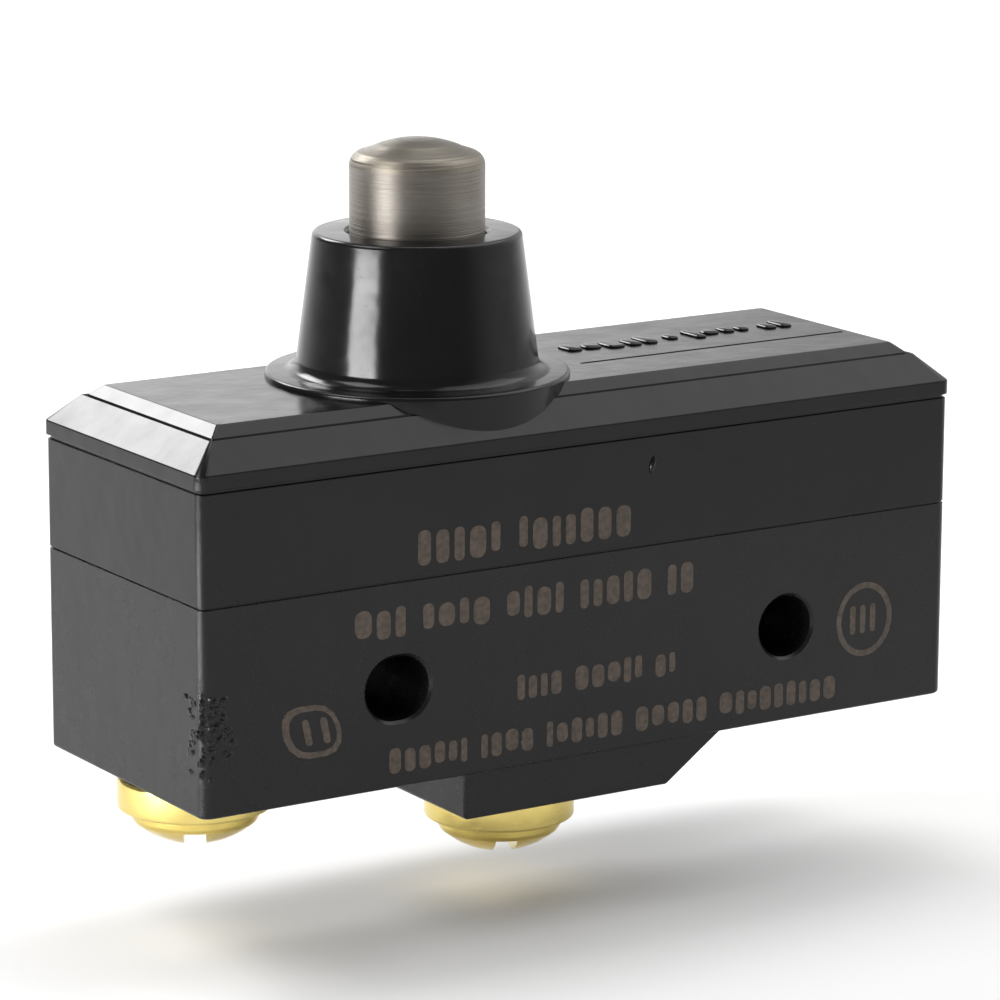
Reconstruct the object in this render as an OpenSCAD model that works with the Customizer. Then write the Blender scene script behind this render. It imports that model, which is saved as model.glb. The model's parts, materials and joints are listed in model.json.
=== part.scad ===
// Snap-action limit switch with an overtravel plunger and three screw terminals.
// Origin: midway between the two mounting-hole axes, at mid-thickness.
// X runs along the case, -Y is the printed front face, +Z is up towards the plunger.

/* [Case] */
// Length of the case walls along X
case_l = 48.5; // [48.3:0.1:49]
// Place of the middle of the case along X
case_mid = -0.38; // [-0.5:0.01:-0.2]
// Thickness of the case walls along Y
case_t = 17.34; // [17:0.02:17.4]
// Depth of the case below the mounting-hole axes
case_drop = 5.45; // [5:0.05:6]
// Height of the top edge of the walls above the mounting-hole axes
wall_top = 12.9; // [12.8:0.05:13.1]
// Height of the flat top above the mounting-hole axes
case_top = 14.95; // [14.85:0.05:15.2]
// Height of the parting line between base and cover
parting = 5.8; // [5.6:0.1:6]
// Radius of the upright corners
corner_r = 0.6; // [0.4:0.1:0.8]
// How far the rim band stands out from the walls
rim_out = 0.08; // [0.04:0.01:0.12]

/* [Mounting holes] */
// Distance between the two holes
hole_spacing = 25.4; // [25.2:0.1:25.6]
// Diameter of the round hole, and width of the elongated one
hole_d = 3.53; // [3.3:0.01:3.7]
// End-to-end length of the elongated hole
slot_len = 3.96; // [3.8:0.01:4.2]

/* [Plunger and boss] */
// Place of the plunger axis along X
plunger_x = -6.2; // [-6.6:0.1:-5.8]
// Diameter of the plunger
plunger_d = 7.4; // [7.2:0.05:7.5]
// Highest point of the plunger at rest
plunger_top = 27.95; // [27.6:0.05:28.3]
// Travel of the plunger
travel = 4.9; // [4:0.1:4.9]
// Height of the top of the conical boss
boss_top = 22.9; // [22.6:0.1:23.2]
// Radius of the boss at its top
boss_r_top = 5.7; // [5.5:0.05:5.9]
// Radius of the boss where its foot begins
boss_r_foot = 6.65; // [6.4:0.05:6.8]
// Radius of the round flange at the foot of the boss
flange_r = 8.35; // [8:0.05:8.5]

/* [Terminals] */
// Place of the common terminal along X
com_x = -20.3; // [-20.5:0.1:-19.9]
// Place of the normally open terminal along X
no_x = -0.8; // [-1.2:0.1:-0.4]
// Radius of the cup washers
washer_r = 4.25; // [4.1:0.05:4.4]
// Height of a cup washer's rim
washer_h = 1.85; // [1.6:0.05:2]
// Radius of a terminal screw's head
head_r = 3.5; // [3.3:0.05:3.6]
// Height of a terminal screw's head
head_h = 3.1; // [2.9:0.05:3.3]
// Outside radius of the terminal screw's thread
thread_r = 2.08; // [2:0.01:2.1]
// Pitch of the terminal screw's thread
thread_pitch = 0.79375; // [0.7:0.00625:0.8]

/* [Snap mechanism] */
// Place of the moving blade's flex line along X
hinge_x = -15; // [-15.1:0.1:-14.9]
// Height of the middle of the moving blade
blade_z = 8; // [8:0.05:8.05]
// Thickness of the moving blade
blade_t = 0.25; // [0.2:0.01:0.25]
// Place of the contacts along X
contact_x = 17; // [16.6:0.1:17.2]

/* [Hidden] */
$fn = 64;
EPS = 0.02;

// Case
half_l = case_l / 2;
left_end = case_mid - half_l;
right_end = case_mid + half_l;
half_t = case_t / 2;
case_h = case_top - parting;
rim_low = wall_top - 0.8;
crease_in = 1.7;
crease_up = 1.4;
chamfer_in = 2.5;
line_gap = 0.1;
line_deep = 0.12;
cavity_l = 42.8;
cavity_t = 13.5;
cavity_r = 1;
ceiling = 12.6;
floor_z = 4.3;
groove_w = 0.22;

// Boss below the case, around the normally open terminal
step_left = -8.3;
step_right = 5;
step_slant = 8.7;
step_drop = 8.1;
step_front = 0.4;

// Plunger, its bore and what sits inside it
bore_clear = 0.06;
flange_clear = 0.1;
plunger_r = plunger_d / 2;
skirt_r = 4.3;
skirt_t = 0.9;
shoulder_z = 17.3;
bevel_r = 0.8;
dome_h = 0.7;
cup_r = 2.9;
cup_top = plunger_top - 1.9;
guide_r = 5.9;
guide_top = 10.7;
guide_t = 1;
spigot_h = 0.5;
pin_r = 1.5;
pin_clear = 0.05;
pin_flange_r = 2.6;
pin_flange_z = 11.6;
pin_flange_t = 1;
pin_tip_r = 0.5;
pin_tip_h = 0.5;

// Overtravel spring
coil_r = 2.15;
wire_r = 0.35;
coils = 8;
coil_steps = 20;
wire_sides = 8;
coil_low = pin_flange_z + pin_flange_t + wire_r + 0.01;
coil_high = cup_top - wire_r - 0.01;

// Cover screws
screw_x = 22.2;
screw_y = 6.5;
post_r = 2;
screw_r = 0.95;
screw_head_r = 1.7;
screw_head_h = 1;
screw_sink = 1.3;
screw_tip = 10.5;

// Terminal hardware
insert_r = 2.9;
neck_r = 2.5;
insert_bore = thread_r + 0.05;
washer_bore = thread_r + 0.22;
washer_floor = 0.8;
cup_gap = 0.12;
neck_up = 0.3;
strap_t = 0.8;
strap_w = 7.2;
arm_w = 5.2;
com_face = -case_drop;
no_collar_t = 0.9;
no_collar_r = 3.8;
no_face = -step_drop - no_collar_t;
no_strap_z = 2;
no_riser_x = 6;
nc_face = right_end;
nc_strap_x = 20.9;
nc_hole_end = 16.9;
nc_arm_z = 9.65;
nc_foot = -3.4;
screw_len = 6.5;
slot_w = 1.2;
slot_deep = 1.3;
com_turn = 120;
no_turn = 115;
nc_turn = 35;

// Contacts and blade
contact_r = 1.9;
contact_t = 0.8;
contact_shank_r = 1;
moving_r = 1.8;
moving_t = 0.7;
blade_tip = 19;
blade_half = 3.8;
strip_half = 1.4;
strip_end = 9;
leg_in = 2.2;
leg_end = -3.8;
leg_z = 7.2;
leg_root = 9.8;
leg_bow = 1.7;
leg_t = 0.2;
anchor_left = -5;
anchor_right = -3.4;
anchor_top = 8.8;
anchor_half = 4.4;
anchor_gap = 1.9;
notch_deep = 1;
notch_half = 1.1;
post_left = -17.6;
root_gap = 0.05;
rivet_r = 0.7;
rivet_x = (post_left + hinge_x) / 2;
blade_low = blade_z - blade_t / 2;
blade_high = blade_z + blade_t / 2;
nc_contact_low = blade_high + moving_t + 0.005;
arm_left = contact_x - 2.2;

BLACK = [0.14, 0.14, 0.145];
GLOSS = [0.1, 0.1, 0.105];
BRASS = [0.82, 0.68, 0.3];
BRONZE = [0.75, 0.5, 0.28];
STEEL = [0.66, 0.64, 0.62];
SILVER = [0.85, 0.85, 0.83];
TAN = [0.7, 0.6, 0.42];

// Points of an arc about c, from angle a0 to a1, in n steps
function arc(c, r, a0, a1, n) =
    [for (i = [0:n]) let (a = a0 + (a1 - a0) * i / n) c + r * [cos(a), sin(a)]];

// Flat rounded rectangle about the origin
module rounded_rect(l, t, r) {
    square([l - 2 * r, t], center = true);
    square([l, t - 2 * r], center = true);
    for (sx = [-1, 1], sy = [-1, 1])
        translate([sx * (l / 2 - r), sy * (t / 2 - r)])
            circle(r);
}

// Upright rounded block from z0 to z1
module block(l, t, r, z0, z1) {
    translate([case_mid, 0, z0])
        linear_extrude(z1 - z0)
            rounded_rect(l, t, r);
}

// Box given by its lowest and highest corners
module span(low, high) {
    translate(low)
        cube(high - low);
}

// Outline of the chamfered cover seen along one horizontal axis, for a half-width w
module chamfer_outline(w) {
    polygon([
        [-w, parting - 1],
        [-w, wall_top],
        [-w + crease_in, wall_top + crease_up],
        [-w + chamfer_in, case_top],
        [w - chamfer_in, case_top],
        [w - crease_in, wall_top + crease_up],
        [w, wall_top],
        [w, parting - 1]
    ]);
}

// Block with the chamfered top all round
module chamfered_block() {
    rim_l = half_l + rim_out;
    rim_t = half_t + rim_out;
    intersection() {
        union() {
            block(case_l, case_t, corner_r, parting, wall_top);
            block(2 * rim_l, 2 * rim_t, corner_r, rim_low, case_top);
        }
        translate([case_mid, 0, 0])
            rotate([90, 0, 0])
                linear_extrude(2 * case_t, center = true)
                    chamfer_outline(rim_l);
        rotate([90, 0, 90])
            linear_extrude(2 * case_l, center = true)
                chamfer_outline(rim_t);
    }
}

// Conical boss with its round flange, solid
module boss_solid() {
    rim = 0.25;
    foot = 0.8;
    foot_z = case_top + 0.3;
    lip = 0.2;
    translate([plunger_x, 0, 0])
        rotate_extrude($fn = 96)
            polygon(concat(
                [[0, wall_top], [flange_r, wall_top]],
                arc([flange_r - lip, foot_z - lip], lip, 0, 90, 4),
                arc([boss_r_foot + foot, foot_z + foot], foot, 270, 188, 6),
                arc([boss_r_top - rim, boss_top - rim], rim, 8, 90, 4),
                [[0, boss_top]]
            ));
}

// The four corner places of the cover screws
module at_cover_screws() {
    for (sx = [-1, 1], sy = [-1, 1])
        translate([case_mid + sx * screw_x, sy * screw_y, 0])
            children();
}

// Posts that carry the cover screws, kept inside the walls
module corner_posts(z0, z1) {
    intersection() {
        block(case_l - 1, case_t - 1, corner_r, z0, z1);
        at_cover_screws()
            translate([0, 0, z0])
                cylinder(r = post_r, h = z1 - z0);
    }
}

// Thin line cut all round the walls at height z
module wall_line(z, w, deep) {
    difference() {
        block(case_l + 2, case_t + 2, corner_r, z, z + w);
        block(case_l - 2 * deep, case_t - 2 * deep, corner_r, z - 1, z + w + 1);
    }
}

module cover() {
    label_y = -2.2;
    label_x0 = plunger_x + flange_r + 1.4;
    label_x1 = right_end - chamfer_in - 0.4;
    label_w = 0.3;
    label_deep = 0.12;
    color(GLOSS)
        difference() {
            union() {
                difference() {
                    union() {
                        chamfered_block();
                        boss_solid();
                    }
                    block(cavity_l, cavity_t, cavity_r, parting - 1, ceiling);
                }
                corner_posts(parting, ceiling + EPS);
                translate([plunger_x, 0, guide_top])
                    cylinder(r = guide_r, h = ceiling - guide_top + EPS);
            }
            translate([plunger_x, 0, shoulder_z - EPS])
                cylinder(r = plunger_r + bore_clear, h = boss_top);
            translate([plunger_x, 0, guide_top - 1])
                cylinder(r = skirt_r + flange_clear, h = shoulder_z - guide_top + 1);
            at_cover_screws()
                translate([0, 0, parting - 1])
                    cylinder(r = screw_r, h = screw_tip - parting + 1, $fn = 32);
            wall_line(parting - 0.01, line_gap, line_deep);
            wall_line(rim_low - groove_w, groove_w, line_deep);
            span([label_x0, label_y - label_w, case_top - label_deep], [label_x1, label_y, case_top + 1]);
        }
}

// Boss below the case, as a solid along Y
module step_solid() {
    rotate([90, 0, 0])
        linear_extrude(case_t - 2 * step_front, center = true)
            polygon([
                [step_left, -case_drop + 1],
                [step_left, -step_drop],
                [step_right, -step_drop],
                [step_slant, -case_drop],
                [step_slant, -case_drop + 1]
            ]);
}

module mounting_holes() {
    half = hole_spacing / 2;
    shift = (slot_len - hole_d) / 2;
    rotate([90, 0, 0]) {
        translate([half, 0, -case_t])
            cylinder(d = hole_d, h = 2 * case_t);
        for (s = [-1, 1])
            translate([-half + s * shift, 0, -case_t])
                cylinder(d = hole_d, h = 2 * case_t);
    }
    span([-half - shift, -case_t, -hole_d / 2], [-half + shift, case_t, hole_d / 2]);
}

// Room that the metal terminals take in the base
module terminal_rooms() {
    pocket_half = strap_w / 2 + 0.2;
    foot_half = 4.1;
    span([com_x - 2.9, -pocket_half, floor_z], [left_end + 4, pocket_half, parting + 1]);
    translate([com_x, 0, com_face - 1])
        cylinder(r = insert_r, h = floor_z - com_face + 1);
    span([no_x - strap_w / 2 - 0.1, -pocket_half, no_strap_z], [no_riser_x + 0.1, pocket_half, floor_z + 1]);
    translate([no_x, 0, -step_drop - 1])
        cylinder(r = insert_r, h = no_strap_z + step_drop + 1);
    span([nc_strap_x - strap_t - 0.1, -foot_half, nc_foot - 0.1], [nc_strap_x + 0.1, foot_half, floor_z + 1]);
    translate([nc_strap_x, 0, 0])
        rotate([0, 90, 0])
            cylinder(r = insert_r, h = half_l);
    translate([nc_hole_end, 0, 0])
        rotate([0, 90, 0])
            cylinder(r = neck_r, h = half_l);
}

module base() {
    color(BLACK)
        difference() {
            union() {
                difference() {
                    union() {
                        block(case_l, case_t, corner_r, -case_drop, parting);
                        step_solid();
                    }
                    block(cavity_l, cavity_t, cavity_r, floor_z, parting + 1);
                }
                corner_posts(floor_z - EPS, parting);
            }
            mounting_holes();
            terminal_rooms();
            at_cover_screws() {
                translate([0, 0, -case_drop - 1])
                    cylinder(r = screw_r + 0.15, h = 2 * case_drop + 2, $fn = 32);
                translate([0, 0, -case_drop - 1])
                    cylinder(r = screw_head_r + 0.15, h = screw_sink + 1, $fn = 32);
            }
        }
}

module cover_screws() {
    cross_w = 0.4;
    cross_l = 1.9;
    cross_deep = 0.5;
    seat = -case_drop + screw_sink;
    color(STEEL)
        at_cover_screws()
            difference() {
                union() {
                    translate([0, 0, seat - screw_head_h])
                        cylinder(r = screw_head_r, h = screw_head_h, $fn = 32);
                    translate([0, 0, seat - EPS])
                        cylinder(r = screw_r, h = screw_tip - 0.3 - seat, $fn = 32);
                }
                for (a = [0, 90])
                    rotate([0, 0, a])
                        translate([0, 0, seat - screw_head_h])
                            cube([cross_w, cross_l, 2 * cross_deep], center = true);
            }
}

module guide_plate() {
    color(TAN)
        translate([plunger_x, 0, guide_top])
            difference() {
                union() {
                    translate([0, 0, -guide_t])
                        cylinder(r = guide_r, h = guide_t);
                    cylinder(r = skirt_r + flange_clear - EPS, h = spigot_h);
                }
                translate([0, 0, -2])
                    cylinder(r = pin_r + pin_clear, h = 4);
            }
}

module plunger() {
    edge_r = plunger_r - bevel_r;
    edge_z = plunger_top - dome_h;
    dome_r = (edge_r * edge_r + dome_h * dome_h) / (2 * dome_h);
    dome_a = asin(edge_r / dome_r);
    color(STEEL)
        translate([plunger_x, 0, 0])
            rotate_extrude($fn = 96)
                polygon(concat(
                    [
                        [cup_r, shoulder_z - skirt_t],
                        [skirt_r, shoulder_z - skirt_t],
                        [skirt_r, shoulder_z],
                        [plunger_r, shoulder_z]
                    ],
                    arc([edge_r, edge_z - bevel_r], bevel_r, 0, 90 - dome_a / 2, 5),
                    arc([0, plunger_top - dome_r], dome_r, 90 - dome_a * 0.9, 90, 7),
                    [[0, cup_top], [cup_r, cup_top]]
                ));
}

// Height of the spring wire's middle after t turns, with closed end turns
function coil_height(t) =
    let (
        closed = 0.8,
        flat = 2 * wire_r + 0.02,
        rise = coil_high - coil_low - 2 * closed * flat,
        open = coils - 2 * closed
    )
    t < closed ? coil_low + t * flat
    : t > coils - closed ? coil_high - (coils - t) * flat
    : coil_low + closed * flat + (t - closed) / open * rise;

module overtravel_spring() {
    n = coils * coil_steps;
    rings = [for (i = [0:n], j = [0:wire_sides - 1])
        let (
            t = i / coil_steps,
            a = 360 * t,
            b = 360 * j / wire_sides,
            r = coil_r + wire_r * cos(b)
        )
        [r * cos(a), r * sin(a), coil_height(t) + wire_r * sin(b)]
    ];
    sides = [for (i = [0:n - 1], j = [0:wire_sides - 1])
        let (k = (j + 1) % wire_sides, p = i * wire_sides, q = p + wire_sides)
        [p + j, p + k, q + k, q + j]
    ];
    first = [for (j = [wire_sides - 1:-1:0]) j];
    last = [for (j = [0:wire_sides - 1]) n * wire_sides + j];
    color(STEEL)
        translate([plunger_x, 0, 0])
            polyhedron(rings, concat(sides, [first, last]));
}

module drive_pin() {
    stem_low = blade_high + 0.005;
    color(TAN)
        translate([plunger_x, 0, 0])
            rotate_extrude()
                polygon([
                    [0, stem_low],
                    [pin_tip_r, stem_low],
                    [pin_r, stem_low + pin_tip_h],
                    [pin_r, pin_flange_z],
                    [pin_flange_r, pin_flange_z],
                    [pin_flange_r, pin_flange_z + pin_flange_t],
                    [0, pin_flange_z + pin_flange_t]
                ]);
}

// Bowed compression legs, arcs through the notch end and the root end
module compression_legs() {
    dx = leg_root - leg_end;
    dz = blade_z - leg_z;
    chord = sqrt(dx * dx + dz * dz);
    bow_r = (chord * chord / 4 + leg_bow * leg_bow) / (2 * leg_bow);
    mid = [(leg_root + leg_end) / 2, (blade_z + leg_z) / 2];
    up = [-dz, dx] / chord;
    c = mid - up * (bow_r - leg_bow);
    intersection() {
        translate([c[0], 0, c[1]])
            rotate([90, 0, 0])
                difference() {
                    cylinder(r = bow_r + leg_t / 2, h = 2 * blade_half, center = true, $fn = 180);
                    cylinder(r = bow_r - leg_t / 2, h = 3 * blade_half, center = true, $fn = 180);
                }
        for (s = [-1, 1])
            translate([leg_end, s * (leg_in + blade_half) / 2 - (blade_half - leg_in) / 2, blade_z - 2])
                cube([leg_root - leg_end + 0.2, blade_half - leg_in, 4]);
    }
}

module snap_spring() {
    tip_r = 1.2;
    wide_half = 2.6;
    wide_end = hinge_x + 1.4;
    color(BRONZE) {
        difference() {
            translate([0, 0, blade_low])
                linear_extrude(blade_t) {
                    translate([strip_end, -blade_half])
                        square([blade_tip - tip_r - strip_end, 2 * blade_half]);
                    translate([strip_end, -blade_half + tip_r])
                        square([blade_tip - strip_end, 2 * (blade_half - tip_r)]);
                    for (s = [-1, 1])
                        translate([blade_tip - tip_r, s * (blade_half - tip_r)])
                            circle(tip_r);
                    polygon([
                        [hinge_x, -wide_half],
                        [wide_end, -strip_half],
                        [strip_end + 1, -strip_half],
                        [strip_end + 1, strip_half],
                        [wide_end, strip_half],
                        [hinge_x, wide_half]
                    ]);
                }
            translate([contact_x, 0, 0])
                cylinder(r = contact_shank_r, h = 2 * blade_z, $fn = 32);
        }
        compression_legs();
    }
}

module blade_root() {
    root_half = 2.6;
    color(BRONZE)
        difference() {
            span([post_left, -root_half, blade_low], [hinge_x - root_gap, root_half, blade_high]);
            translate([rivet_x, 0, 0])
                cylinder(r = rivet_r, h = 2 * blade_z, $fn = 32);
        }
}

module blade_rivet() {
    head = 1.3;
    head_t = 0.5;
    color(BRASS)
        translate([rivet_x, 0, 0]) {
            translate([0, 0, floor_z])
                cylinder(r = rivet_r, h = blade_high + head_t / 2 - floor_z, $fn = 32);
            translate([0, 0, blade_high])
                cylinder(r1 = head, r2 = head * 0.75, h = head_t, $fn = 32);
        }
}

module moving_contact() {
    color(SILVER)
        translate([contact_x, 0, 0]) {
            translate([0, 0, blade_low - moving_t])
                cylinder(r = contact_shank_r, h = blade_t + 2 * moving_t, $fn = 32);
            for (z = [blade_high, blade_low - moving_t])
                translate([0, 0, z])
                    cylinder(r = moving_r, h = moving_t);
        }
}

module spring_anchor() {
    notch_low = leg_z - notch_half;
    notch_high = leg_z + notch_half;
    plate_top = floor_z + 2 * strap_t;
    color(BRASS) {
        difference() {
            union() {
                span([anchor_left, -anchor_half, floor_z + strap_t], [anchor_right, anchor_half, plate_top]);
                for (s = [-1, 1])
                    translate([0, s * (anchor_gap + anchor_half) / 2, 0])
                        span([anchor_left, -(anchor_half - anchor_gap) / 2, plate_top - EPS],
                            [anchor_right, (anchor_half - anchor_gap) / 2, anchor_top]);
            }
            rotate([90, 0, 0])
                linear_extrude(4 * anchor_half, center = true)
                    polygon([
                        [anchor_right + EPS, notch_low],
                        [anchor_right - notch_deep, leg_z],
                        [anchor_right + EPS, notch_high]
                    ]);
            translate([(anchor_left + anchor_right) / 2, 0, 0])
                cylinder(r = 0.5, h = 3 * floor_z, $fn = 32);
        }
    }
}

module anchor_rivet() {
    color(BRASS)
        translate([(anchor_left + anchor_right) / 2, 0, 0]) {
            translate([0, 0, floor_z])
                cylinder(r = 0.5, h = 2 * strap_t + 0.2, $fn = 32);
            translate([0, 0, floor_z + 2 * strap_t])
                cylinder(r = 0.7, h = 0.4, $fn = 32);
        }
}

// Threaded brass insert: outward face at height 0, body and neck going down
module insert(body_len, neck_len) {
    color(BRASS)
        difference() {
            union() {
                translate([0, 0, -body_len])
                    cylinder(r = insert_r, h = body_len);
                translate([0, 0, -body_len - neck_len])
                    cylinder(r = neck_r, h = neck_len + EPS);
            }
            translate([0, 0, -body_len - neck_len - 1])
                cylinder(r = insert_bore, h = body_len + neck_len + 2);
        }
}

// Cup washer: lies on the face at height 0, its rim stands up round the screw's head
module cup_washer() {
    low_edge = 0.3;
    high_edge = 0.12;
    cup_in = head_r + cup_gap;
    color(BRASS)
        rotate_extrude()
            polygon(concat(
                [[washer_bore, 0]],
                arc([washer_r - low_edge, low_edge], low_edge, 270, 360, 4),
                arc([washer_r - high_edge, washer_h - high_edge], high_edge, 0, 90, 3),
                [
                    [cup_in, washer_h],
                    [cup_in, washer_floor],
                    [washer_bore, washer_floor]
                ]
            ));
}

// Points of the thread ridges, from just under the head down to the tip
function thread_points() =
    let (n = floor(screw_len / thread_pitch), root_r = thread_r - 0.45)
    [for (i = [0:n - 1], k = [0:1])
        [k == 0 ? root_r : thread_r, -screw_len + 0.3 + (i + k * 0.5) * thread_pitch]
    ];

// Terminal screw: domed head sunk in the washer's cup, thread going down
module terminal_screw(turn) {
    crown = 1.4;
    edge = 0.15;
    shank_r = thread_r - 0.3;
    head_high = washer_floor + head_h;
    crown_r = (head_r * head_r + crown * crown) / (2 * crown);
    crown_a = asin(head_r / crown_r);
    color(BRASS)
        rotate([0, 0, turn])
            difference() {
                rotate_extrude()
                    polygon(concat(
                        [[0, -screw_len], [thread_r - 0.7, -screw_len]],
                        thread_points(),
                        [
                            [shank_r, washer_floor - 0.4],
                            [shank_r, washer_floor],
                            [head_r - edge, washer_floor],
                            [head_r, washer_floor + edge]
                        ],
                        arc([0, head_high - crown_r], crown_r, 90 - crown_a, 90, 7)
                    ));
                translate([-2 * head_r, -slot_w / 2, head_high - slot_deep])
                    cube([4 * head_r, slot_w, 2 * slot_deep]);
            }
}

// Places of the three terminals, with the outward direction along local +Z
module at_com() {
    translate([com_x, 0, com_face])
        rotate([180, 0, 0])
            children();
}

module at_no() {
    translate([no_x, 0, no_face])
        rotate([180, 0, 0])
            children();
}

module at_nc() {
    translate([nc_face, 0, 0])
        rotate([0, 90, 0])
            children();
}

module com_terminal() {
    ring_left = com_x - 2.8;
    strap_right = anchor_right + 0.2;
    post_half = 2.6;
    color(BRASS)
        difference() {
            union() {
                intersection() {
                    union() {
                        translate([com_x, 0, floor_z])
                            cylinder(r = strap_w / 2, h = strap_t);
                        span([com_x, -strap_w / 2, floor_z], [strap_right, strap_w / 2, floor_z + strap_t]);
                    }
                    span([ring_left, -strap_w, floor_z], [strap_right, strap_w, floor_z + strap_t]);
                }
                span([post_left, -post_half, floor_z + strap_t - EPS], [hinge_x - root_gap, post_half, blade_low]);
            }
            translate([com_x, 0, 0])
                cylinder(r = neck_r, h = 2 * floor_z);
            translate([rivet_x, 0, 0])
                cylinder(r = rivet_r, h = 2 * blade_z, $fn = 32);
            translate([(anchor_left + anchor_right) / 2, 0, 0])
                cylinder(r = 0.5, h = 2 * floor_z, $fn = 32);
        }
}

module com_insert() {
    at_com()
        insert(floor_z - com_face, strap_t + neck_up);
}

module com_washer() {
    at_com()
        cup_washer();
}

module com_screw() {
    at_com()
        terminal_screw(com_turn);
}

module no_terminal() {
    arm_right = contact_x + 1.9;
    color(BRASS)
        difference() {
            union() {
                translate([no_x, 0, no_strap_z])
                    cylinder(r = strap_w / 2, h = strap_t);
                span([no_x, -arm_w / 2, no_strap_z], [no_riser_x, arm_w / 2, no_strap_z + strap_t]);
                span([no_riser_x - strap_t, -arm_w / 2, no_strap_z], [no_riser_x, arm_w / 2, floor_z + strap_t]);
                span([no_riser_x - strap_t, -arm_w / 2, floor_z], [arm_right, arm_w / 2, floor_z + strap_t]);
            }
            translate([no_x, 0, 0])
                cylinder(r = neck_r, h = floor_z - 1);
            translate([contact_x, 0, 0])
                cylinder(r = contact_shank_r, h = 2 * floor_z, $fn = 32);
        }
}

module no_contact() {
    color(SILVER)
        translate([contact_x, 0, floor_z]) {
            cylinder(r = contact_shank_r, h = strap_t + contact_t / 2, $fn = 32);
            translate([0, 0, strap_t])
                cylinder(r = contact_r, h = contact_t);
        }
}

module no_insert() {
    body = no_strap_z - no_face;
    at_no() {
        insert(body, strap_t + neck_up);
        color(BRASS)
            translate([0, 0, -no_collar_t])
                difference() {
                    cylinder(r = no_collar_r, h = no_collar_t);
                    translate([0, 0, -1])
                        cylinder(r = insert_bore, h = no_collar_t + 2);
                }
    }
}

module no_washer() {
    at_no()
        cup_washer();
}

module no_screw() {
    at_no()
        terminal_screw(no_turn);
}

module nc_terminal() {
    foot_half = 4;
    color(BRASS)
        difference() {
            union() {
                span([nc_strap_x - strap_t, -foot_half, nc_foot], [nc_strap_x, foot_half, floor_z - 0.1]);
                span([nc_strap_x - strap_t, -arm_w / 2, 0], [nc_strap_x, arm_w / 2, nc_arm_z + strap_t]);
                span([arm_left, -arm_w / 2, nc_arm_z], [nc_strap_x, arm_w / 2, nc_arm_z + strap_t]);
            }
            rotate([0, 90, 0])
                cylinder(r = neck_r, h = 2 * half_l);
            translate([contact_x, 0, nc_arm_z - 1])
                cylinder(r = contact_shank_r, h = strap_t + 2, $fn = 32);
        }
}

module nc_contact() {
    color(SILVER)
        translate([contact_x, 0, 0]) {
            translate([0, 0, nc_contact_low])
                cylinder(r = contact_r, h = nc_arm_z - nc_contact_low);
            translate([0, 0, nc_contact_low + 0.1])
                cylinder(r = contact_shank_r, h = nc_arm_z - nc_contact_low + strap_t, $fn = 32);
        }
}

module nc_insert() {
    at_nc()
        insert(nc_face - nc_strap_x, 3.1);
}

module nc_washer() {
    at_nc()
        cup_washer();
}

module nc_screw() {
    at_nc()
        terminal_screw(nc_turn);
}

base();
cover();
cover_screws();
guide_plate();
plunger();
overtravel_spring();
drive_pin();
snap_spring();
blade_root();
blade_rivet();
moving_contact();
spring_anchor();
anchor_rivet();
com_terminal();
com_insert();
com_washer();
com_screw();
no_terminal();
no_contact();
no_insert();
no_washer();
no_screw();
nc_terminal();
nc_contact();
nc_insert();
nc_washer();
nc_screw();
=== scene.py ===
"""Looks of a snap-action limit switch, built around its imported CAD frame.

Lengths are millimetres while a mesh is built, and metres once it is placed.
"""
import json
import math
import random

import bmesh
import bpy
from mathutils import Matrix, Vector


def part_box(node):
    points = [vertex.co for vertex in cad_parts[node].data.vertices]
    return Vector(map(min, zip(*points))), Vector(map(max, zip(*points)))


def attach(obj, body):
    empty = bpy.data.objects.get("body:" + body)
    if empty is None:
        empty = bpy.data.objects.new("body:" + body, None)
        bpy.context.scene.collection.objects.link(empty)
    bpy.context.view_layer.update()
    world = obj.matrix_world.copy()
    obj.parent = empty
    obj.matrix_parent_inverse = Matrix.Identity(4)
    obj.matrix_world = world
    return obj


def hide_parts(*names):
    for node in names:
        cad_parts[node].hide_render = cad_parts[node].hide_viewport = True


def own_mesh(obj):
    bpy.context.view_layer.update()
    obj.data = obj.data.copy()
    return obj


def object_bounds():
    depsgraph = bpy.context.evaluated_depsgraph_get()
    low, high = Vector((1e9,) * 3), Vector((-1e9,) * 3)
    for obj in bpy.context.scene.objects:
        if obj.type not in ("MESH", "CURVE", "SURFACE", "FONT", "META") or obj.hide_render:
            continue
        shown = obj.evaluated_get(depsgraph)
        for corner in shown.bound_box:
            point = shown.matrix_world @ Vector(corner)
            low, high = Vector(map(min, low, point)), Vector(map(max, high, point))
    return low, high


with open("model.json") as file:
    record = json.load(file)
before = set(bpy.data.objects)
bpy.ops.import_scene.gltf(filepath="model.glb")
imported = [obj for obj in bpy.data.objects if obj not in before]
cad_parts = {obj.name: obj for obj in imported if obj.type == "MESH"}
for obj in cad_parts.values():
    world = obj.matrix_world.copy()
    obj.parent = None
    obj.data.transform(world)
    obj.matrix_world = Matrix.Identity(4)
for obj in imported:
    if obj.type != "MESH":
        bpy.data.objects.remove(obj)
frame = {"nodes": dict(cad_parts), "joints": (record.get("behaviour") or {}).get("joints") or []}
CAD_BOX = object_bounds()

MM = 0.001
TURN = 2 * math.pi

# ---------------------------------------------------------------- sizes from the frame


def box_mm(node):
    """Lowest and highest corner of a CAD node, in millimetres."""
    low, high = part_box(node)
    return low / MM, high / MM


def joint_range(name):
    """How far a sliding joint goes, in metres."""
    return next(j for j in frame["joints"] if j["name"] == name)["range_m"][1]


BASE_LOW, BASE_HIGH = box_mm("base")
COVER_HIGH = box_mm("cover")[1]
PLUNGER_LOW, PLUNGER_HIGH = box_mm("plunger")
SPRING_LOW, SPRING_HIGH = box_mm("overtravel_spring")

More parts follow.
